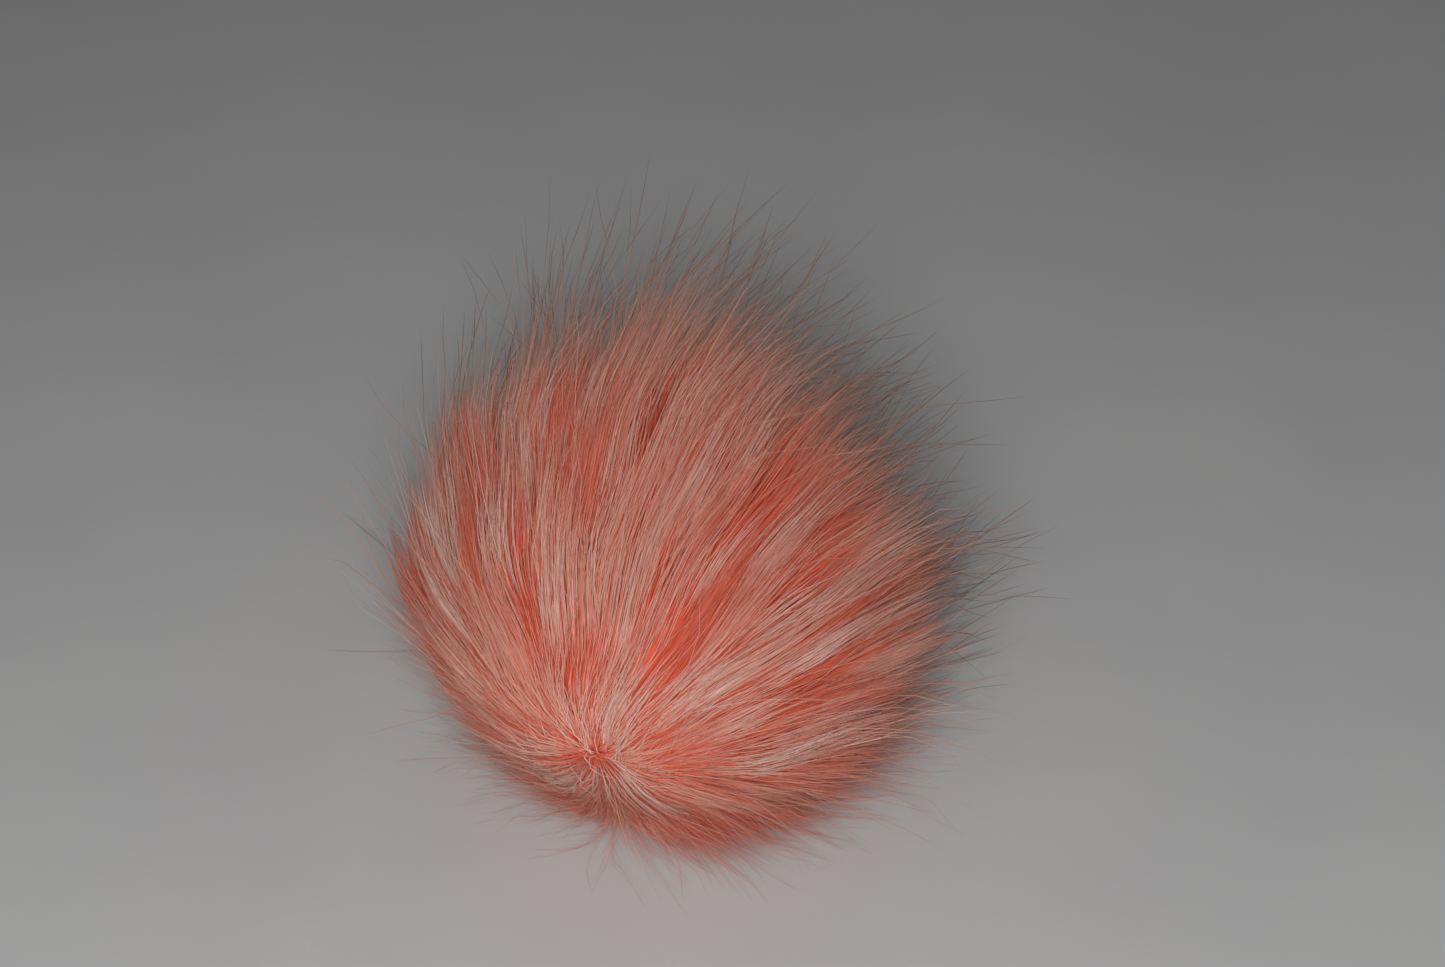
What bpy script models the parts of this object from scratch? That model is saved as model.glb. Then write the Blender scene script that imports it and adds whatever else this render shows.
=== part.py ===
"""Faux fur pom pom: a circle of long-pile fur cloth drawn together into a ball, lying on its side.

It is one solid. The dense mass at the roots of the pile is a ball with a dimple at the gather, where
the cloth is drawn together, and a flat spot where it rests. The outer pile is a set of curved locks
of three sides that sweep away from the gather and stand apart from each other.
Metres, +Z up. The origin is on the surface that the pom pom lies on, under the ball's centre.
The gather faces the front, which is -Y.
"""

import math

import bmesh
import bpy
import numpy as np
from mathutils import Vector

# The ball and its gather
BALL_HEIGHT = 0.041
GATHER_WAY = (-0.31, -0.95, 0.06)
MASS_RADIUS_AT_GATHER = 0.037
MASS_RADIUS_AT_BACK = 0.046
MASS_SWELL_ENDS = math.radians(110)
DIMPLE_DEPTH = 0.003
DIMPLE_SPREAD = math.radians(14)
SEAT_HEIGHT = 0.0
MASS_SUBDIVISIONS = 3

# How the pile lies: its lean away from the gather, its twist round it, its sag and its nap
MOST_LEAN = math.radians(69)
LEAN_FALL = 0.85
GATHER_LEAN_SHARE = 0.55
GATHER_LEAN_ENDS = math.radians(48)
TWIST_AT_TIP = 0.42
SAG_AT_TIP = 0.16
NAP_AT_TIP = (0.26, 0.03, 0.0)

# How the pile meets the surface that it lies on
FLOOR_LAYER = 0.015
FLOOR_SINK = 1.2
LOCK_REST_HEIGHT = 0.0010
LEVEL_BELOW = 0.0007

# The locks of the outer pile
LOCK_LENGTH = 0.048
SHORTEST_LOCK = 0.78
LONGEST_LOCK = 1.08
PRESSED_BELOW = 0.036
PRESSED_SHARE = 0.50
ROOT_INSET = 0.0023
STEPS_PER_LOCK = 24
WIDTH_TO_HEIGHT = 2.3
SEED = 7

# The room that each lock keeps clear of the others and of the mass
ROOM_SHARE = 0.72
LEAST_HEIGHT = 0.0008
SLICE = 0.0024

# One row for each ring round the gather, in degrees from it: how long its locks are
LOCK_LENGTHS = (
    {"angle": 0.0, "share": 0.45},
    {"angle": 25.0, "share": 0.62},
    {"angle": 55.0, "share": 1.0},
    {"angle": 180.0, "share": 1.0},
)

# One row for each section of a lock: share of its length and the most that its triangle may be high
LOCK_SECTIONS = (
    {"share": 0.25, "height": 0.0032},
    {"share": 0.48, "height": 0.0030},
    {"share": 0.73, "height": 0.0019},
)

PILE_COLOUR = (0.78, 0.25, 0.17, 1.0)
PILE_ROUGHNESS = 0.6

CENTRE = np.array((0.0, 0.0, BALL_HEIGHT))
GATHER = np.array(GATHER_WAY) / np.linalg.norm(GATHER_WAY)
FRONT = np.array((GATHER[0], GATHER[1], 0.0))
NAP = np.array(NAP_AT_TIP)
UP = np.array((0.0, 0.0, 1.0))


def clear_scene():
    for obj in list(bpy.data.objects):
        bpy.data.objects.remove(obj)


def unit(vector):
    return vector / max(np.linalg.norm(vector), 1e-9)


def smooth_step(value):
    held = min(max(value, 0.0), 1.0)
    return held * held * (3.0 - 2.0 * held)


def gather_angle(outward):
    """How far round the ball this way out is from the gather."""
    return math.acos(min(max(outward.dot(GATHER), -1.0), 1.0))


def mass_radius(outward):
    """How far the dense mass reaches from the ball's centre, this way out."""
    angle = gather_angle(outward)
    swell = smooth_step(angle / MASS_SWELL_ENDS)
    radius = MASS_RADIUS_AT_GATHER + (MASS_RADIUS_AT_BACK - MASS_RADIUS_AT_GATHER) * swell
    return radius - DIMPLE_DEPTH * math.exp(-((angle / DIMPLE_SPREAD) ** 2))


def height_off_mass(point):
    """How far a point is outside the dense mass."""
    from_centre = point - CENTRE
    return float(np.linalg.norm(from_centre) - mass_radius(unit(from_centre)))


def free_pile_way(point):
    """The way that the pile runs at a point that is well above the surface."""
    outward = unit(point - CENTRE)
    toward_back = unit(outward * outward.dot(GATHER) - GATHER)
    round_gather = unit(np.cross(outward, GATHER))
    nearness = (1.0 + outward.dot(GATHER)) / 2.0
    parting = smooth_step(gather_angle(outward) / GATHER_LEAN_ENDS)
    lean_share = GATHER_LEAN_SHARE + (1.0 - GATHER_LEAN_SHARE) * parting
    lean = MOST_LEAN * nearness**LEAN_FALL * lean_share
    bend = min(max(height_off_mass(point) / LOCK_LENGTH, 0.0), 1.0)
    way = outward * math.cos(lean) + toward_back * math.sin(lean)
    return unit(way + (round_gather * TWIST_AT_TIP - UP * SAG_AT_TIP + NAP) * bend)


def pile_way(point):
    """The way that the pile runs at a point. It depends on the place alone, so no two locks cross."""
    height_share = (point[2] - LOCK_REST_HEIGHT) / FLOOR_LAYER
    off_floor = smooth_step(height_share)
    splay = unit(np.array((point[0], point[1], 0.0))) - UP * FLOOR_SINK * height_share
    return unit(free_pile_way(point) * off_floor + splay * (1.0 - off_floor))


def root_mass(bm):
    """The dense mass: a ball of triangles, swollen at the back and flat where it rests."""
    turn = Vector(UP).rotation_difference(Vector(GATHER)).to_matrix().to_4x4()
    bmesh.ops.create_icosphere(bm, subdivisions=MASS_SUBDIVISIONS, radius=1.0, matrix=turn)
    for vert in bm.verts:
        outward = unit(np.array(vert.co))
        place = CENTRE + outward * mass_radius(outward)
        place[2] = max(place[2], SEAT_HEIGHT)
        vert.co = Vector(place)
    bm.normal_update()


def meets_surface(face):
    return any(vert.co.z <= SEAT_HEIGHT for vert in face.verts)


def face_middle(face):
    return np.array(face.calc_center_median())


def from_gather(face):
    """How far round the ball a face is from the gather."""
    return gather_angle(unit(face_middle(face) - CENTRE))


def lock_length(root):
    """How long a lock that grows here is: shorter at the gather, and where it is pressed in front."""
    outward = unit(root - CENTRE)
    angles = [row["angle"] for row in LOCK_LENGTHS]
    shares = [row["share"] for row in LOCK_LENGTHS]
    ring_share = np.interp(math.degrees(gather_angle(outward)), angles, shares)
    lowness = smooth_step(1.0 - root[2] / PRESSED_BELOW)
    pressed = smooth_step(2.0 * lowness * max(outward.dot(FRONT), 0.0))
    return LOCK_LENGTH * ring_share * (1.0 - PRESSED_SHARE * pressed)


def lock_path(root, length):
    """Evenly spaced points along a lock, from its root to its tip."""
    path = [root]
    for _ in range(STEPS_PER_LOCK):
        path.append(path[-1] + pile_way(path[-1]) * length / STEPS_PER_LOCK)
    return np.array(path)


def section_axes(path, share):
    """A lock's middle at this share of its length, and the ways along it, across it and above it."""
    index = round(share * STEPS_PER_LOCK)
    along = unit(path[index + 1] - path[index - 1])
    if path[index][2] < FLOOR_LAYER:
        away = UP
    else:
        away = unit(path[index] - CENTRE)
    across = unit(np.cross(away, along))
    return path[index], along, across, np.cross(along, across)


def room_round(axes, others):
    """The height that a section may have before it meets the locks round it or the mass below it."""
    middle, along, across, above = axes
    gaps = others - middle
    level = np.abs(gaps @ along) < SLICE
    beside = np.abs(gaps[level] @ across) / WIDTH_TO_HEIGHT
    over = np.abs(gaps[level] @ above)
    return float(np.min(np.maximum(beside, over), initial=height_off_mass(middle)))


def section_heights(path, others):
    """How high each of a lock's sections may be, among the paths of the other locks."""
    heights = []
    for row in LOCK_SECTIONS:
        room = ROOM_SHARE * room_round(section_axes(path, row["share"]), others)
        heights.append(min(row["height"], room))
    return heights


def section_corners(axes, height, ridge):
    """The corners of a section, with its ridge above (1) or below (-1), level where it rests."""
    middle, _, across, above = axes
    flat = middle - above * ridge * height / 3.0
    half = across * ridge * height * WIDTH_TO_HEIGHT / 2.0
    corners = [flat - half, flat + half, middle + above * ridge * height * 2.0 / 3.0]
    for corner in corners:
        if corner[2] < LEVEL_BELOW:
            corner[2] = SEAT_HEIGHT
    return corners


def turned_to(face, corners):
    """The corners in the order that leaves each the least way from the face's own, and that way."""
    here = [np.array(vert.co) for vert in face.verts]
    turns = [corners[start:] + corners[:start] for start in range(len(corners))]
    ways = [sum(np.linalg.norm(a - b) for a, b in zip(here, turn)) for turn in turns]
    nearest = int(np.argmin(ways))
    return turns[nearest], ways[nearest]


def ridge_side(face, axes, height):
    """Whether a lock's ridges are above (1) or, where that twists it less, below (-1)."""
    if axes[0][2] < FLOOR_LAYER:
        return 1
    above = turned_to(face, section_corners(axes, height, 1))[1]
    below = turned_to(face, section_corners(axes, height, -1))[1]
    return 1 if above <= below else -1


def grow_lock(bm, face, path, others):
    """Draws one face of the mass out into a tapered, curved lock."""
    heights = section_heights(path, others)
    axes = [section_axes(path, row["share"]) for row in LOCK_SECTIONS]
    ridge = ridge_side(face, axes[0], heights[0])
    bmesh.ops.inset_individual(bm, faces=[face], thickness=ROOT_INSET, use_even_offset=True)
    for section, height in zip(axes, heights):
        face = bmesh.ops.extrude_discrete_faces(bm, faces=[face])["faces"][0]
        corners = turned_to(face, section_corners(section, height, ridge))[0]
        for vert, corner in zip(face.verts, corners):
            vert.co = Vector(corner)
    face = bmesh.ops.extrude_discrete_faces(bm, faces=[face])["faces"][0]
    bmesh.ops.pointmerge(bm, verts=list(face.verts), merge_co=Vector(path[-1]))


def joined(paths):
    """All points of these paths, and one far away so that there is always a point."""
    return np.concatenate([np.ones((1, 3))] + paths)


def roomy_paths(faces):
    """The faces that have room for a lock among those already chosen, each with its lock's path."""
    lengths = np.random.default_rng(SEED)
    chosen = []
    for face in sorted(faces, key=from_gather, reverse=True):
        root = face_middle(face)
        path = lock_path(root, lock_length(root) * lengths.uniform(SHORTEST_LOCK, LONGEST_LOCK))
        others = joined([other for _, other in chosen])
        if min(section_heights(path, others)) >= LEAST_HEIGHT:
            chosen.append((face, path))
    return chosen


def grow_locks(bm):
    """A lock on each face of the mass that is off the surface and has room for one."""
    chosen = roomy_paths([face for face in bm.faces if not meets_surface(face)])
    for index, (face, path) in enumerate(chosen):
        others = joined([other for _, other in chosen[:index] + chosen[index + 1 :]])
        grow_lock(bm, face, path, others)


def pile_material():
    material = bpy.data.materials.new("coral_pile")
    material.use_nodes = True
    shader = material.node_tree.nodes["Principled BSDF"]
    shader.inputs["Base Color"].default_value = PILE_COLOUR
    shader.inputs["Roughness"].default_value = PILE_ROUGHNESS
    shader.inputs["Metallic"].default_value = 0.0
    return material


def fur_ball():
    bm = bmesh.new()
    root_mass(bm)
    grow_locks(bm)
    mesh = bpy.data.meshes.new("fur_ball")
    bm.to_mesh(mesh)
    bm.free()
    mesh.materials.append(pile_material())
    obj = bpy.data.objects.new("fur_ball", mesh)
    bpy.context.scene.collection.objects.link(obj)


clear_scene()
fur_ball()
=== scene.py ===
"""Faux fur pom pom lying on its side: long coral pile that sweeps away from the gather in front.

The hairs are closed tubes of three sides that end in a point, joined into a few meshes. They grow
from the dense mass that part.py models, along much the same flow as its locks, and draw together
into finer locks. Metres, +Z up, the gather to the front, which is -Y.
"""

import math

import bpy
import numpy as np
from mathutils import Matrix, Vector


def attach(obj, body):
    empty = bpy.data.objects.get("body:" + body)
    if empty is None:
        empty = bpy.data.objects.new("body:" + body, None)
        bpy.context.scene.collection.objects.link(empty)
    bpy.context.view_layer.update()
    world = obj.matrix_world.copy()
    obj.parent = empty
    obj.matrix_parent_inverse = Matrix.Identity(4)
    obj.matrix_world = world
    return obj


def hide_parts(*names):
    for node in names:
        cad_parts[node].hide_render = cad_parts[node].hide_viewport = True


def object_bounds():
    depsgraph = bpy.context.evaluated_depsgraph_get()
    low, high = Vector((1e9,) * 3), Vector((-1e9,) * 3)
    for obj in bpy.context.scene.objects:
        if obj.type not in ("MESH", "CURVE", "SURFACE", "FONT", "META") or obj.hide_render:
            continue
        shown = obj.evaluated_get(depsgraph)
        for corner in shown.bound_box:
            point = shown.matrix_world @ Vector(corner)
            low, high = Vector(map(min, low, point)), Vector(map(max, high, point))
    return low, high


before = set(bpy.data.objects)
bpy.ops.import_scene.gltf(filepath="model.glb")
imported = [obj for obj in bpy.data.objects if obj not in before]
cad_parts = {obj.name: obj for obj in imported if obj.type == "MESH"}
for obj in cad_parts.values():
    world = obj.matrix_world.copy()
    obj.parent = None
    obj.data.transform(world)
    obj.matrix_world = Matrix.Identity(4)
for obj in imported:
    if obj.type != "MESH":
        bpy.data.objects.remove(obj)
CAD_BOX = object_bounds()

# The ball and its gather, as in part.py but with the gather a little lower
BALL_HEIGHT = 0.041
GATHER_WAY = (-0.31, -0.95, 0.01)
MASS_RADIUS_AT_GATHER = 0.037
MASS_RADIUS_AT_BACK = 0.046
MASS_SWELL_ENDS = math.radians(110)
DIMPLE_DEPTH = 0.003
DIMPLE_SPREAD = math.radians(14)

# Places where the pile changes: which way out of the ball each lies, how far the ball is drawn in
# there, how wide it is, which way the pile sweeps, how much shorter it is, and how much painted
# shade deepens its tone. They are the gather, its left, below it, its right, and the far upper right.
HOLLOWS = (
    {
        "way": GATHER_WAY,
        "depth": 0.0,
        "spread": math.radians(9),
        "sweep": (1.0, 0.0, 0.35),
        "shorter": 0.0,
        "painted_shade": 0.15,
    },
    {
        "way": (-0.707, -0.54, -0.455),
        "depth": 0.008,
        "spread": math.radians(30),
        "sweep": (-0.70, 0.50, 0.38),
        "shorter": 0.50,
        "painted_shade": 0.0,
    },
    {
        "way": (0.10, -0.85, -0.52),
        "depth": 0.010,
        "spread": math.radians(28),
        "sweep": (0.55, -0.30, 0.0),
        "shorter": 0.50,
        "painted_shade": 0.42,
    },
    {
        "way": (0.82, -0.44, -0.37),
        "depth": 0.007,
        "spread": math.radians(28),
        "sweep": (0.05, -0.20, -0.05),
        "shorter": 0.20,
        "painted_shade": 0.10,
    },
    {
        "way": (0.72, 0.53, 0.45),
        "depth": 0.006,
        "spread": math.radians(34),
        "sweep": (0.10, 0.10, -0.10),
        "shorter": 0.25,
        "painted_shade": 0.08,
    },
)

# How the pile lies, as in part.py but combed flatter
MOST_LEAN = math.radians(76)
LEAN_FALL = 0.62
GATHER_LEAN_SHARE = 0.60
GATHER_LEAN_ENDS = math.radians(16)
TWIST_AT_TIP = 0.42
SAG_AT_TIP = 0.16
NAP_AT_TIP = (0.20, 0.03, 0.0)
PILE_LENGTH = 0.048
PRESSED_BELOW = 0.044
PRESSED_SHARE = 0.60
PRESSED_GAIN = 2.0
STRAY_AT_ROOT = 0.3

# How the pile meets the floor
FLOOR_LAYER = 0.020
FLOOR_SINK = 1.0
FLOOR_SPREAD = 0.80
LEAST_REST_HEIGHT = 0.0006
MOST_REST_HEIGHT = 0.0045
LOWEST_ROOT = 0.004
LOWEST_CORNER = 0.0003

# Slow drifts of the pile, so that it parts and swirls a little: size, and waves a metre
DRIFT_SIZE = 0.09
DRIFT_WAVES = 26.0

# Streaks that run out from the gather: waves round it, how strong each is, and where it starts
STREAKS = ((13, 0.3, 0.7), (23, 0.5, 2.9), (37, 0.8, 4.1), (59, 0.9, 1.3), (89, 0.7, 5.2))
STREAK_TURN = 0.9
STREAK_PUSH = 2.0
STREAK_PUSH_HEIGHT = 0.008

# The share of a whole pile length, by degrees from the gather
LENGTH_ANGLES = (0.0, 25.0, 55.0, 100.0, 180.0)
LENGTH_SHARES = (0.72, 0.94, 1.0, 0.92, 0.86)

# The locks that the hairs draw together into
LOCKS = 900
DRAWS_A_LOCK = 12
LOCK_LENGTHS = (0.84, 1.06)
LOCK_STRAY = 0.08
ROOT_SINK = 0.0006
LEAST_LAYER = 0.0010
MOST_LAYER = 0.0065
LAYER_REACHED = 0.5
GATHER_CROWD = 2.0
GATHER_CROWD_SPREAD = math.radians(24)
MOST_CROWD = 6.0

# How a hair's tone is made up of the streak, the lock and the hair itself. Pale tones are partly
# painted highlight along the locks, deep ones partly painted shade between them.
MIDDLE_TONE = 0.44
STREAK_TONE = 0.24
LOCK_TONE = 0.28
HAIR_TONE = 0.05

# How the hairs of one lock differ: least and most of each share, and the beta spread of lengths
REST_SHARES = (0.3, 1.0)
LAYER_SHARES = (0.85, 1.1)
RADIUS_SHARES = (0.8, 1.2)
LENGTH_BETA = (1.6, 2.0)
GATHERING_PACE = 1.3
TAPER_POWER = 1.3

# How the meshes are made
STEPS = 24
SMOOTHINGS = 6
SIDES = 3
MOST_TRIANGLES = 190000
MASS_SEGMENTS = 96
MASS_RINGS = 64
MASS_INSET = 0.0004
UV_NAME = "OFBake"
HAIR_UV_WIDTH = 0.004
CAP_UV_HEIGHT = 0.02
SEED = 11

# How far past the solid's box a hair may reach
MOST_REACH = 0.0125

# One row for each kind of hair. Lengths are shares of a whole pile length, and the smoothing is
# how far its shading follows the form of the ball under it.
PILE = {
    "hairs_a_lock": 34,
    "locks_share": 1.0,
    "grows_below": 1.0,
    "spread": 0.0017,
    "lengths": (0.36, 0.90),
    "free_share": 0.0,
    "radius": 0.00011,
    "gathering": (0.15, 0.60),
    "stray": 0.035,
    "wave": 0.00012,
    "stations": (0.0, 0.24, 0.5, 0.76, 1.0),
    "grows_from": (0.0, 0.0),
    "tip_share": 0.20,
    "smoothing": 0.60,
}
RIM_PILE = {
    **PILE,
    "spread": 0.0032,
    "lengths": (0.36, 1.12),
    "gathering": (0.1, 0.5),
    "stray": 0.09,
    "smoothing": 0.1,
}
UNDER = {
    "hairs_a_lock": 6,
    "locks_share": 1.0,
    "grows_below": 1.0,
    "spread": 0.0034,
    "lengths": (0.30, 0.66),
    "free_share": 0.0,
    "radius": 0.00020,
    "gathering": (0.0, 0.3),
    "stray": 0.16,
    "wave": 0.0009,
    "stations": (0.0, 0.34, 0.7, 1.0),
    "grows_from": (0.0, 0.0),
    "tip_share": 0.25,
    "smoothing": 0.45,
}
LOOSE = {
    "hairs_a_lock": 3,
    "locks_share": 1.0,
    "grows_below": 1.0,
    "spread": 0.0030,
    "lengths": (0.50, 1.40),
    "free_share": 0.5,
    "radius": 0.00008,
    "gathering": (0.0, 0.3),
    "stray": 0.32,
    "wave": 0.0006,
    "stations": (0.0, 0.2, 0.4, 0.6, 0.8, 1.0),
    "grows_from": (0.0, 0.0),
    "tip_share": 0.30,
    "smoothing": 0.1,
}
FRINGE = {
    **LOOSE,
    "hairs_a_lock": 10,
    "lengths": (0.60, 1.30),
    "free_share": 0.40,
    "radius": 0.00006,
    "stray": 0.28,
    "stations": (0.0, 0.25, 0.5, 0.75, 1.0),
    "grows_below": 0.030,
}
GUARD = {
    "hairs_a_lock": 7,
    "locks_share": 0.50,
    "grows_below": 1.0,
    "spread": 0.0020,
    "lengths": (1.05, 1.80),
    "free_share": 0.0,
    "radius": 0.00010,
    "gathering": (0.0, 0.6),
    "stray": 0.26,
    "wave": 0.0002,
    "stations": (0.0, 0.2, 0.4, 0.56, 0.7, 0.85, 1.0),
    "grows_from": (85.0, 120.0),
    "tip_share": 0.50,
    "smoothing": 0.0,
}
RIM_STARTS = math.radians(96)
SMOOTHING_SPREAD = math.radians(65)

# Colours of the pile. The deepest coral is partly the roots' own colour and partly painted shade in
# the crevices between locks and hairs.
DEEP_AND_SHADE = (0.93, 0.13, 0.06)
CORAL = (0.96, 0.21, 0.12)
PINK = (0.99, 0.48, 0.37)
# The palest pink is partly the pile's own tone and partly a painted highlight along the tops of the
# locks.
PALE_AND_HIGHLIGHT = (1.0, 0.72, 0.62)
TAN = (0.56, 0.25, 0.17)
SHAFT = (0.76, 0.50, 0.38)
BROWN = (0.20, 0.065, 0.030)
PILE_TONES = ((0.0, CORAL), (0.45, PINK), (1.0, PALE_AND_HIGHLIGHT))

# How light meets a hair
ROOT_ROUGHNESS = 0.65
TIP_ROUGHNESS = 0.45
FUR_SPECULAR = 0.15
SHEEN = 0.15
SHEEN_ROUGHNESS = 0.5
SHEEN_TINT = (1.0, 0.75, 0.66, 1.0)


def unit(vectors):
    return vectors / np.maximum(np.linalg.norm(vectors, axis=-1, keepdims=True), 1e-9)


CENTRE = np.array((0.0, 0.0, BALL_HEIGHT))
UP = np.array((0.0, 0.0, 1.0))
GATHER = unit(np.array(GATHER_WAY))
GATHER_SIDE = unit(np.cross(UP, GATHER))
GATHER_TOP = np.cross(GATHER, GATHER_SIDE)
FRONT = GATHER * (1.0, 1.0, 0.0)
NAP = np.array(NAP_AT_TIP)


# Sums over many vectors at once


def column(values):
    return np.asarray(values)[..., None]


def smooth_step(values):
    held = np.clip(values, 0.0, 1.0)
    return held * held * (3.0 - 2.0 * held)


def dots(a, b):
    return np.sum(a * b, axis=-1)


# The dense mass and the flow of the pile


def angles_from(outward, way):
    return np.arccos(np.clip(outward @ way, -1.0, 1.0))


def gather_turns(outward):
    """Where these ways out are round the gather: 0 to its right, a quarter turn above it."""
    return np.arctan2(outward @ GATHER_TOP, outward @ GATHER_SIDE)


def hollow_shares(outward, hollow):
    angles = angles_from(outward, unit(np.array(hollow["way"])))
    return np.exp(-((angles / hollow["spread"]) ** 2))


def mass_radii(outward):
    angles = angles_from(outward, GATHER)
    swell = smooth_step(angles / MASS_SWELL_ENDS)
    radii = MASS_RADIUS_AT_GATHER + (MASS_RADIUS_AT_BACK - MASS_RADIUS_AT_GATHER) * swell
    dimple = DIMPLE_DEPTH * np.exp(-((angles / DIMPLE_SPREAD) ** 2))
    hollows = sum(row["depth"] * hollow_shares(outward, row) for row in HOLLOWS)
    return radii - dimple - hollows


def streak_waves(outward):
    """The phase of each streak wave at these ways out."""
    turns = gather_turns(outward)
    angles = angles_from(outward, GATHER)
    return [
        turns * waves + start + angles * STREAK_TURN * math.sqrt(waves)
        for waves, _, start in STREAKS
    ]


def streaks(outward):
    """How pale or deep the streak is here, from about -1 to 1: pale partly painted highlight, deep
    partly painted shade.
    """
    phases = streak_waves(outward)
    total = sum(row[1] * np.sin(phase) for row, phase in zip(STREAKS, phases))
    return total / math.sqrt(sum(row[1] ** 2 for row in STREAKS))


def streak_push(outward):
    """How hard the pile is pushed round the gather, towards the middles of the pale streaks."""
    phases = streak_waves(outward)
    return sum(row[1] / row[0] * np.cos(phase) for row, phase in zip(STREAKS, phases))


def drift(points):
    """A slow sideways wander that depends on the place alone."""
    x, y, z = (points * DRIFT_WAVES * 2.0 * math.pi).T
    waves = (
        np.sin(y + 0.6 * z) + 0.6 * np.sin(1.9 * z + 1.3 * x + 1.0),
        np.sin(z + 0.7 * x + 2.0) + 0.6 * np.sin(2.1 * x - 1.2 * y + 4.0),
        np.sin(x - 0.5 * y + 4.4) + 0.6 * np.sin(1.8 * y + 1.1 * z + 2.6),
    )
    return np.stack(waves, axis=1) * DRIFT_SIZE


def free_pile_ways(points):
    """The way that the pile runs at points well above the floor."""
    from_centre = points - CENTRE
    outward = unit(from_centre)
    toward_back = unit(outward * column(outward @ GATHER) - GATHER)
    round_gather = unit(np.cross(outward, GATHER))
    nearness = (1.0 + outward @ GATHER) / 2.0
    parting = smooth_step(angles_from(outward, GATHER) / GATHER_LEAN_ENDS)
    lean_share = GATHER_LEAN_SHARE + (1.0 - GATHER_LEAN_SHARE) * parting
    lean = column(MOST_LEAN * nearness**LEAN_FALL * lean_share)
    height = np.linalg.norm(from_centre, axis=1) - mass_radii(outward)
    bend = column(np.clip(height / PILE_LENGTH, 0.0, 1.0))
    pushed = column(streak_push(outward) * nearness * smooth_step(height / STREAK_PUSH_HEIGHT))
    swept = sum(np.array(row["sweep"]) * column(hollow_shares(outward, row)) for row in HOLLOWS)
    ways = outward * np.cos(lean) + toward_back * np.sin(lean) + swept
    ways = ways - round_gather * pushed * STREAK_PUSH
    return unit(ways + (round_gather * TWIST_AT_TIP - UP * SAG_AT_TIP + NAP) * bend)


def pile_ways(points, rest_heights):
    """The way that the pile runs at these points, which turns level just above the floor."""
    height_shares = column((points[:, 2] - rest_heights) / FLOOR_LAYER)
    off_floor = smooth_step(height_shares)
    free = free_pile_ways(points)
    level = unit(free * (1.0, 1.0, 0.0) + unit(points * (1.0, 1.0, 0.0)) * FLOOR_SPREAD)
    splay = level - UP * FLOOR_SINK * height_shares
    return unit(free * off_floor + splay * (1.0 - off_floor))


def lifted_off_mass(points, clear_heights):
    """The points, moved out where they are less than this high off the mass."""
    from_centre = points - CENTRE
    outward = unit(from_centre)
    heights = np.linalg.norm(from_centre, axis=1) - mass_radii(outward)
    return points + outward * column(np.maximum(clear_heights - heights, 0.0))


def grown_paths(roots, lengths, strays, rest_heights, layers):
    """One path for each root, as evenly spaced points along the flow with a stray way of its own."""
    path = [roots]
    for step in range(STEPS):
        here = path[-1]
        share = STRAY_AT_ROOT + (1.0 - STRAY_AT_ROOT) * step / STEPS
        ways = unit(pile_ways(here, rest_heights) + strays * share + drift(here))
        there = here + ways * column(lengths / STEPS)
        there = lifted_off_mass(there, layers * smooth_step((step + 1) / STEPS / LAYER_REACHED))
        there[:, 2] = np.maximum(there[:, 2], np.minimum(here[:, 2], rest_heights))
        path.append(there)
    return smoothed(np.stack(path, axis=1))


def smoothed(paths):
    """The paths with their small bumps taken out and their ends kept."""
    for _ in range(SMOOTHINGS):
        inner = (paths[:, :-2] + 2.0 * paths[:, 1:-1] + paths[:, 2:]) / 4.0
        paths = np.concatenate((paths[:, :1], inner, paths[:, -1:]), axis=1)
    return paths


def free_lengths(roots):
    """How long a hair is that grows here and isn't pressed: shorter at the gather."""
    degrees = np.degrees(angles_from(unit(roots - CENTRE), GATHER))
    return PILE_LENGTH * np.interp(degrees, LENGTH_ANGLES, LENGTH_SHARES)


def pile_lengths(roots):
    """How long the pile is here: shorter in the hollows, and low in front where it is pressed."""
    outward = unit(roots - CENTRE)
    lowness = smooth_step(1.0 - roots[:, 2] / PRESSED_BELOW)
    pressed = smooth_step(PRESSED_GAIN * lowness * np.maximum(outward @ FRONT, 0.0))
    lengths = free_lengths(roots) * (1.0 - PRESSED_SHARE * pressed)
    for row in HOLLOWS:
        lengths = lengths * (1.0 - row["shorter"] * hollow_shares(outward, row))
    return lengths


# The locks


def scattered_ways(rng, count):
    """Ways out of the ball, denser round the gather and wherever the pile is short."""
    ways = unit(rng.normal(size=(count * DRAWS_A_LOCK, 3)))
    roots = CENTRE + ways * column(mass_radii(ways))
    angles = angles_from(ways, GATHER)
    crowd = 1.0 + GATHER_CROWD * np.exp(-((angles / GATHER_CROWD_SPREAD) ** 2))
    crowd = crowd * PILE_LENGTH / pile_lengths(roots)
    grows = (rng.random(len(ways)) * MOST_CROWD < crowd) & (roots[:, 2] > LOWEST_ROOT)
    return ways[grows][:count]


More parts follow.
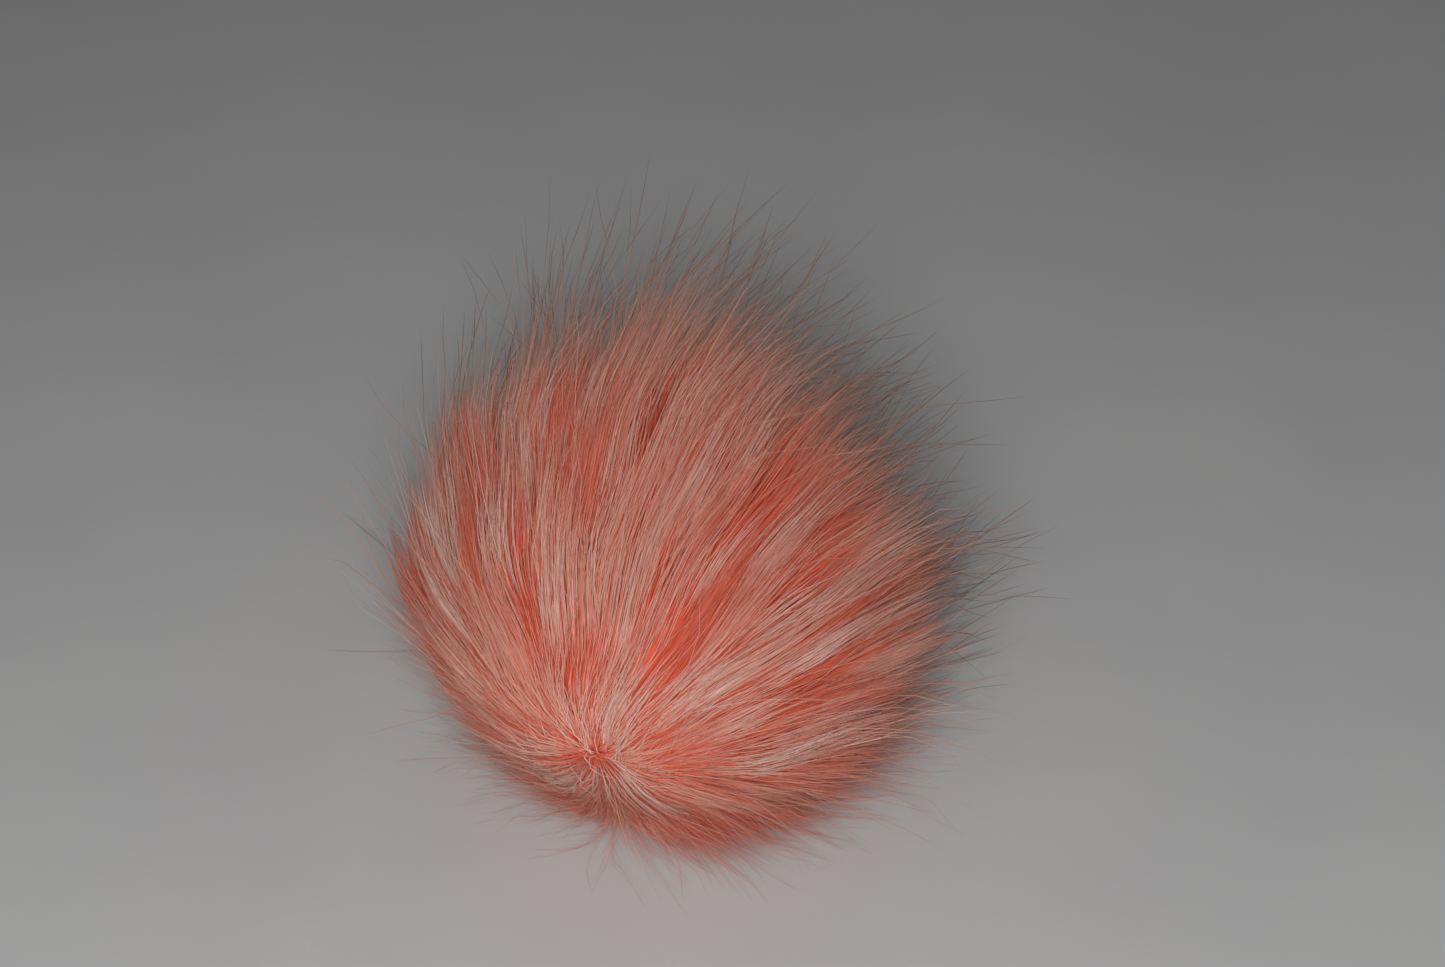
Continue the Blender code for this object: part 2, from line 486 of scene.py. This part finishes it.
def lock_guides(rng):
    """Where each lock grows, and the path and tone that its hairs share."""
    ways = scattered_ways(rng, LOCKS)
    roots = CENTRE + ways * column(mass_radii(ways) - ROOT_SINK)
    lengths = pile_lengths(roots) * rng.uniform(*LOCK_LENGTHS, len(roots))
    strays = rng.normal(size=roots.shape) * LOCK_STRAY
    rests = rng.uniform(LEAST_REST_HEIGHT, MOST_REST_HEIGHT, len(roots))
    layers = rng.uniform(LEAST_LAYER, MOST_LAYER, len(roots))
    paths = grown_paths(roots, lengths, strays, rests, layers)
    tones = MIDDLE_TONE + STREAK_TONE * streaks(ways) + rng.normal(size=len(roots)) * LOCK_TONE
    # The locks in the hollows are deepened in tone as painted shade.
    tones = tones - sum(row["painted_shade"] * hollow_shares(ways, row) for row in HOLLOWS)
    guides = {"roots": roots, "lengths": lengths, "rests": rests, "layers": layers}
    return {**guides, "paths": paths, "tones": tones}


def along_path(paths, shares):
    """Points at these shares of each path's length."""
    places = shares * STEPS
    before = np.clip(places.astype(int), 0, STEPS - 1)
    rows = np.arange(len(paths))[:, None]
    between = column(places - before)
    return paths[rows, before] * (1.0 - between) + paths[rows, before + 1] * between


def hair_roots(rng, lock_roots, spread):
    """Roots scattered round the middles of their locks, on the mass."""
    loose = lock_roots + rng.normal(size=lock_roots.shape) * spread
    ways = unit(loose - CENTRE)
    roots = CENTRE + ways * column(mass_radii(ways) - ROOT_SINK)
    roots[:, 2] = np.maximum(roots[:, 2], LEAST_REST_HEIGHT)
    return roots


def hair_owners(rng, guides, kind):
    """Which lock each hair of a kind grows in, thinned out where the kind doesn't grow."""
    locks = np.arange(len(guides["roots"]))
    locks = locks[rng.random(len(locks)) < kind["locks_share"]]
    locks = locks[guides["roots"][locks, 2] < kind["grows_below"]]
    owners = np.repeat(locks, kind["hairs_a_lock"])
    starts, full = kind["grows_from"]
    if full > starts:
        outward = unit(guides["roots"][owners] - CENTRE)
        degrees = np.degrees(angles_from(outward, GATHER))
        owners = owners[rng.random(len(owners)) < smooth_step((degrees - starts) / (full - starts))]
    return owners


def hair_centres(rng, guides, owners, kind):
    """The stations of these hairs, drawn towards the paths of their locks."""
    roots = hair_roots(rng, guides["roots"][owners], kind["spread"])
    strays = rng.normal(size=roots.shape) * kind["stray"]
    rests = guides["rests"][owners] * rng.uniform(*REST_SHARES, len(owners))
    rests = np.maximum(rests, LEAST_REST_HEIGHT)
    layers = guides["layers"][owners] * rng.uniform(*LAYER_SHARES, len(owners))
    free = kind["free_share"]
    lengths = guides["lengths"][owners] * (1.0 - free) + free_lengths(roots) * free
    own = grown_paths(roots, lengths, strays, rests, layers)
    shortest, longest = kind["lengths"]
    shares = shortest + (longest - shortest) * rng.beta(*LENGTH_BETA, len(owners))
    stations = column(shares) * np.array(kind["stations"])
    held = np.minimum(stations, 1.0)
    gathering = column(rng.uniform(*kind["gathering"], len(owners)))
    pull = column(gathering * smooth_step(held * GATHERING_PACE))
    own_points = along_path(own, held)
    guide_points = along_path(guides["paths"][owners], held)
    centres = own_points * (1.0 - pull) + guide_points * pull
    past_end = column(np.maximum(stations - 1.0, 0.0) * column(lengths))
    end_ways = unit(own[:, -1] - own[:, -3])[:, None]
    centres = centres + end_ways * past_end
    centres = centres + rng.normal(size=centres.shape) * kind["wave"] * column(held)
    centres[..., 2] = np.maximum(centres[..., 2], rests[:, None])
    return centres


def within_reach(centres):
    """Which hairs stay close enough to the solid's box from end to end."""
    low = np.array(CAD_BOX[0]) - MOST_REACH
    high = np.array(CAD_BOX[1]) + MOST_REACH
    return np.all((centres > low) & (centres < high), axis=(1, 2))


# Hairs as closed tubes of three sides


def tube_rings(rng, centres):
    """The three ways out of a hair at each of its stations but the last."""
    along = unit(np.gradient(centres, axis=1))
    chords = centres[:, -1] - centres[:, 0]
    sides = unit(np.cross(chords, rng.normal(size=chords.shape)))[:, None]
    across = unit(sides - along * column(dots(sides, along)))[:, :-1, None]
    above = np.cross(along[:, :-1, None], across)
    turns = column(np.arange(SIDES) * 2.0 * math.pi / SIDES)
    return across * np.cos(turns) + above * np.sin(turns)


def tube_corners(centres, rings, radii):
    """The corners of every hair: three at each station but the last, which is its point."""
    corners = centres[:, :-1, None] + rings * radii[:, :-1, None, None]
    corners = corners.reshape(len(centres), -1, 3)
    corners = np.concatenate((corners, centres[:, -1:]), axis=1)
    corners[..., 2] = np.maximum(corners[..., 2], LOWEST_CORNER)
    return corners


def soft_normals(corners, rings, smoothing):
    """The way that each corner faces for shading: out of its hair, turned towards out of the ball."""
    outward = unit(corners - CENTRE)
    own = np.concatenate((rings.reshape(len(corners), -1, 3), outward[:, -1:]), axis=1)
    shares = smoothing * np.exp(-((angles_from(outward, GATHER) / SMOOTHING_SPREAD) ** 2))
    return unit(own * column(1.0 - shares) + outward * column(shares))


def tube_pattern(stations):
    """The triangles of one hair and, for each of their corners, its place in the UV map."""
    last = len(stations) - 1
    faces = [(0, 2, 1)]
    places = [((0.0, 0.0), (1.0, 0.0), (0.5, CAP_UV_HEIGHT))]
    for ring in range(last):
        low, high = stations[ring], stations[ring + 1]
        for side in range(SIDES):
            left, right = side / SIDES, (side + 1) / SIDES
            here, after = ring * SIDES + side, ring * SIDES + (side + 1) % SIDES
            if ring == last - 1:
                faces.append((here, after, last * SIDES))
                places.append(((left, low), (right, low), ((left + right) / 2.0, high)))
            else:
                faces.append((here, after, after + SIDES))
                faces.append((here, after + SIDES, here + SIDES))
                places.append(((left, low), (right, low), (right, high)))
                places.append(((left, low), (right, high), (left, high)))
    return np.array(faces), np.array(places)


def strand_mesh(name, corners, normals, stations, tones):
    """One joined mesh of hairs, with the tone of each across its UV map and its length up it."""
    faces, places = tube_pattern(stations)
    count, each = corners.shape[:2]
    all_faces = faces[None] + (np.arange(count) * each)[:, None, None]
    uvs = np.repeat(places[None], count, axis=0)
    uvs[..., 0] = uvs[..., 0] * HAIR_UV_WIDTH + tones[:, None, None] * (1.0 - HAIR_UV_WIDTH)
    mesh = bpy.data.meshes.new(name)
    mesh.vertices.add(count * each)
    mesh.vertices.foreach_set("co", corners.astype(np.float32).ravel())
    mesh.loops.add(all_faces.size)
    mesh.loops.foreach_set("vertex_index", all_faces.astype(np.int32).ravel())
    mesh.polygons.add(all_faces.size // 3)
    mesh.polygons.foreach_set("loop_start", np.arange(0, all_faces.size, 3, dtype=np.int32))
    mesh.update(calc_edges=True)
    layer = mesh.uv_layers.new(name=UV_NAME)
    layer.uv.foreach_set("vector", uvs.astype(np.float32).ravel())
    mesh.validate()
    mesh.normals_split_custom_set_from_vertices(normals.reshape(-1, 3).tolist())
    return mesh


def shown(name, mesh, material):
    """Adds a piece of the pom pom to the scene."""
    mesh.materials.append(material)
    piece = bpy.data.objects.new(name, mesh)
    bpy.context.scene.collection.objects.link(piece)
    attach(piece, "root")
    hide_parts("fur_ball")


def taper(kind):
    """How thick a hair is along its length: full at first, then down to near its point."""
    return 1.0 - (1.0 - kind["tip_share"]) * np.array(kind["stations"]) ** TAPER_POWER


def add_hairs(name, rng, guides, owners, kind, material):
    """Adds these hairs as pieces that each hold one part of the turn round the gather."""
    centres = hair_centres(rng, guides, owners, kind)
    inside = within_reach(centres)
    centres, owners = centres[inside], owners[inside]
    radii = kind["radius"] * column(rng.uniform(*RADIUS_SHARES, len(owners))) * taper(kind)
    tones = guides["tones"][owners] + rng.normal(size=len(owners)) * HAIR_TONE
    tones = np.clip(tones, 0.0, 1.0)
    rings = tube_rings(rng, centres)
    corners = tube_corners(centres, rings, radii)
    normals = soft_normals(corners, rings, kind["smoothing"])
    order = np.argsort(gather_turns(unit(guides["roots"][owners] - CENTRE)))
    triangles = len(owners) * len(tube_pattern(kind["stations"])[0])
    parts = np.array_split(order, math.ceil(triangles / MOST_TRIANGLES))
    for index, part in enumerate(parts):
        part_name = f"{name}_{index + 1}" if len(parts) > 1 else name
        mesh = strand_mesh(part_name, corners[part], normals[part], kind["stations"], tones[part])
        shown(part_name, mesh, material)


# The dense mass at the roots


def add_root_mass(material):
    bpy.ops.mesh.primitive_uv_sphere_add(segments=MASS_SEGMENTS, ring_count=MASS_RINGS, radius=1.0)
    ball = bpy.context.object
    mesh = ball.data
    points = np.empty(len(mesh.vertices) * 3)
    mesh.vertices.foreach_get("co", points)
    ways = unit(points.reshape(-1, 3))
    places = CENTRE + ways * column(mass_radii(ways) - MASS_INSET)
    places[:, 2] = np.maximum(places[:, 2], 0.0)
    mesh.vertices.foreach_set("co", places.ravel())
    mesh.update()
    bpy.data.objects.remove(ball)
    mesh.shade_smooth()
    shown("root_mass", mesh, material)


# Materials


def new_material(name):
    material = bpy.data.materials.new(name)
    material.use_nodes = True
    return material, material.node_tree.nodes, material.node_tree.links


def ramp(nodes, stops):
    node = nodes.new("ShaderNodeValToRGB")
    elements = node.color_ramp.elements
    while len(elements) < len(stops):
        elements.new(0.5)
    for element, (place, colour) in zip(elements, stops):
        element.position = place
        element.color = (*colour, 1.0)
    return node


def eased(nodes, links, value, starts, ends, first=0.0, last=1.0):
    """A number that goes smoothly from first to last as the value goes from starts to ends."""
    node = nodes.new("ShaderNodeMapRange")
    node.interpolation_type = "SMOOTHSTEP"
    node.inputs["From Min"].default_value = starts
    node.inputs["From Max"].default_value = ends
    node.inputs["To Min"].default_value = first
    node.inputs["To Max"].default_value = last
    links.new(value, node.inputs["Value"])
    return node.outputs["Result"]


def mottled(nodes, links, size, stops):
    """Colours in soft patches of about this size in metres, and the pattern they come from."""
    place = nodes.new("ShaderNodeTexCoord")
    noise = nodes.new("ShaderNodeTexNoise")
    noise.inputs["Scale"].default_value = 1.0 / size
    noise.inputs["Detail"].default_value = 4.0
    links.new(place.outputs["Object"], noise.inputs["Vector"])
    colours = ramp(nodes, stops)
    links.new(noise.outputs["Fac"], colours.inputs["Fac"])
    return colours.outputs["Color"], noise.outputs["Fac"]


def uneven_material(name, size, stops, roughness, bump_height):
    """A matte material in soft patches that are a little raised and sunk."""
    material, nodes, links = new_material(name)
    colour, pattern = mottled(nodes, links, size, stops)
    bump = nodes.new("ShaderNodeBump")
    bump.inputs["Distance"].default_value = bump_height
    links.new(pattern, bump.inputs["Height"])
    shader = nodes["Principled BSDF"]
    links.new(colour, shader.inputs["Base Color"])
    links.new(bump.outputs["Normal"], shader.inputs["Normal"])
    links.new(eased(nodes, links, pattern, 0.3, 0.7, *roughness), shader.inputs["Roughness"])
    return material


def mixed(nodes, links, factor, a, b):
    """A mix of two colours, each a socket or three numbers."""
    node = nodes.new("ShaderNodeMix")
    node.data_type = "RGBA"
    sockets = {socket.name: socket for socket in node.inputs if socket.type == "RGBA"}
    for name, colour in (("A", a), ("B", b)):
        if isinstance(colour, tuple):
            sockets[name].default_value = (*colour, 1.0)
        else:
            links.new(colour, sockets[name])
    links.new(factor, node.inputs["Factor"])
    return next(socket for socket in node.outputs if socket.type == "RGBA")


def fur_material(name, tones, root, tip):
    """Fur that starts in a root colour, takes its lock's tone and ends in a tip colour. A deep root
    colour is partly painted shade in the crevices near the roots.
    """
    material, nodes, links = new_material(name)
    uv = nodes.new("ShaderNodeUVMap")
    uv.uv_map = UV_NAME
    split = nodes.new("ShaderNodeSeparateXYZ")
    links.new(uv.outputs["UV"], split.inputs[0])
    across, along = split.outputs["X"], split.outputs["Y"]
    # Pale tones across the UV map are partly a painted highlight along the locks.
    tone = ramp(nodes, tones)
    links.new(across, tone.inputs["Fac"])
    rooting = eased(nodes, links, along, 0.0, root["ends"])
    with_root = mixed(nodes, links, rooting, root["colour"], tone.outputs["Color"])
    tipping = eased(nodes, links, along, tip["starts"], 1.0)
    with_tip = mixed(nodes, links, tipping, with_root, tip["colour"])
    shader = nodes["Principled BSDF"]
    links.new(with_tip, shader.inputs["Base Color"])
    gloss = eased(nodes, links, along, 0.0, 1.0, ROOT_ROUGHNESS, TIP_ROUGHNESS)
    links.new(gloss, shader.inputs["Roughness"])
    shader.inputs["Specular IOR Level"].default_value = FUR_SPECULAR
    shader.inputs["Sheen Weight"].default_value = SHEEN
    shader.inputs["Sheen Roughness"].default_value = SHEEN_ROUGHNESS
    shader.inputs["Sheen Tint"].default_value = SHEEN_TINT
    return material


def coral_pile():
    # The deep root colour is partly painted shade in the crevices near the roots.
    root = {"colour": DEEP_AND_SHADE, "ends": 0.42}
    return fur_material("coral_pile", PILE_TONES, root, {"colour": PINK, "starts": 0.85})


def tan_tipped_pile():
    root = {"colour": CORAL, "ends": 0.42}
    return fur_material("tan_tipped_pile", PILE_TONES, root, {"colour": TAN, "starts": 0.55})


# Under hair in deep coral: partly its own colour, partly painted shade deep in the pile.
def deep_pile():
    tones = ((0.0, DEEP_AND_SHADE), (1.0, CORAL))
    root = {"colour": DEEP_AND_SHADE, "ends": 0.42}
    return fur_material("deep_pile", tones, root, {"colour": CORAL, "starts": 0.9})


def brown_tipped_pile():
    tones = ((0.0, TAN), (1.0, SHAFT))
    root = {"colour": CORAL, "ends": 0.5}
    return fur_material("brown_tipped_pile", tones, root, {"colour": BROWN, "starts": 0.55})


def loose_hair():
    root = {"colour": CORAL, "ends": 0.5}
    return fur_material("loose_hair", PILE_TONES, root, {"colour": TAN, "starts": 0.5})


# The mass at the roots, deep coral that is partly painted shade where it shows between hairs.
def pile_roots():
    backing = ((0.35, DEEP_AND_SHADE), (0.65, CORAL))
    return uneven_material("pile_roots", 0.003, backing, (0.9, 0.7), 0.0006)


def split_at_rim(guides, owners):
    """The owners of the hairs in front and of those at the rim and behind."""
    behind = angles_from(unit(guides["roots"][owners] - CENTRE), GATHER) > RIM_STARTS
    return owners[~behind], owners[behind]


def make_fur():
    rng = np.random.default_rng(SEED)
    guides = lock_guides(rng)
    pile = coral_pile()
    add_root_mass(pile_roots())
    add_hairs("short_pile", rng, guides, hair_owners(rng, guides, UNDER), UNDER, deep_pile())
    front, back = split_at_rim(guides, hair_owners(rng, guides, PILE))
    add_hairs("front_pile", rng, guides, front, PILE, pile)
    add_hairs("back_pile", rng, guides, back, RIM_PILE, tan_tipped_pile())
    front, back = split_at_rim(guides, hair_owners(rng, guides, LOOSE))
    add_hairs("loose_front", rng, guides, front, LOOSE, pile)
    add_hairs("loose_back", rng, guides, back, LOOSE, loose_hair())
    add_hairs("low_fringe", rng, guides, hair_owners(rng, guides, FRINGE), FRINGE, pile)
    guards = hair_owners(rng, guides, GUARD)
    add_hairs("guard_hairs", rng, guides, guards, GUARD, brown_tipped_pile())


# The floor, the light and the camera

FLOOR_SIZE = 6.0
FLOOR_PATCH = 0.06
FLOOR_GREYS = ((0.3, (0.57, 0.57, 0.575)), (0.7, (0.61, 0.61, 0.61)))

KEY_SIZE = 0.30
KEY_PLACE = (-0.03, -0.46, 0.57)
KEY_AIM = (0.0, -0.56, 0.0)
KEY_POWER = 4.2
KEY_COLOUR = (1.0, 0.995, 0.98)

BACK_CONE = math.radians(7)
BACK_SOFTNESS = 0.04
BACK_PLACE = (0.14, 0.66, 0.42)
BACK_AIM = (0.0, 0.0, 0.055)
BACK_POWER = 14.0
BACK_COLOUR = (1.0, 0.99, 0.97)

ROOM_COLOUR = (0.82, 0.83, 0.85, 1.0)
ROOM_STRENGTH = 0.12

LENS = 50.0
SENSOR_WIDTH = 23.6
CAMERA_DISTANCE = 0.66
CAMERA_AIM = (0.0157, 0.026, 0.0629)
CAMERA_WAY = (0.0, -0.643, 0.766)


def make_floor():
    bpy.ops.mesh.primitive_plane_add(size=FLOOR_SIZE)
    floor = bpy.context.object
    floor.name = "floor"
    material = uneven_material("pale_floor", FLOOR_PATCH, FLOOR_GREYS, (0.85, 0.75), 0.0002)
    floor.data.materials.append(material)


def add_light(data, place, aim, power, colour):
    data.energy = power
    data.color = colour
    light = bpy.data.objects.new(data.name, data)
    light.location = place
    light.rotation_euler = (Vector(aim) - Vector(place)).to_track_quat("-Z", "Y").to_euler()
    bpy.context.scene.collection.objects.link(light)


def make_lamps():
    """A soft lamp above the front, and a narrow one behind that is aimed at the ball."""
    key = bpy.data.lights.new("key", "AREA")
    key.size = KEY_SIZE
    add_light(key, KEY_PLACE, KEY_AIM, KEY_POWER, KEY_COLOUR)
    back = bpy.data.lights.new("back", "SPOT")
    back.spot_size = BACK_CONE
    back.spot_blend = 1.0
    back.shadow_soft_size = BACK_SOFTNESS
    add_light(back, BACK_PLACE, BACK_AIM, BACK_POWER, BACK_COLOUR)


def make_room_light():
    world = bpy.data.worlds.new("soft_room")
    world.use_nodes = True
    background = world.node_tree.nodes["Background"]
    background.inputs["Color"].default_value = ROOM_COLOUR
    background.inputs["Strength"].default_value = ROOM_STRENGTH
    bpy.context.scene.world = world
    bpy.context.scene.view_settings.view_transform = "Standard"


def make_camera():
    data = bpy.data.cameras.new("camera")
    data.lens = LENS
    data.sensor_width = SENSOR_WIDTH
    camera = bpy.data.objects.new("camera", data)
    aim = Vector(CAMERA_AIM)
    camera.location = aim + Vector(CAMERA_WAY).normalized() * CAMERA_DISTANCE
    camera.rotation_euler = (aim - camera.location).to_track_quat("-Z", "Y").to_euler()
    bpy.context.scene.collection.objects.link(camera)
    bpy.context.scene.camera = camera


make_camera()
make_fur()
make_floor()
make_lamps()
make_room_light()
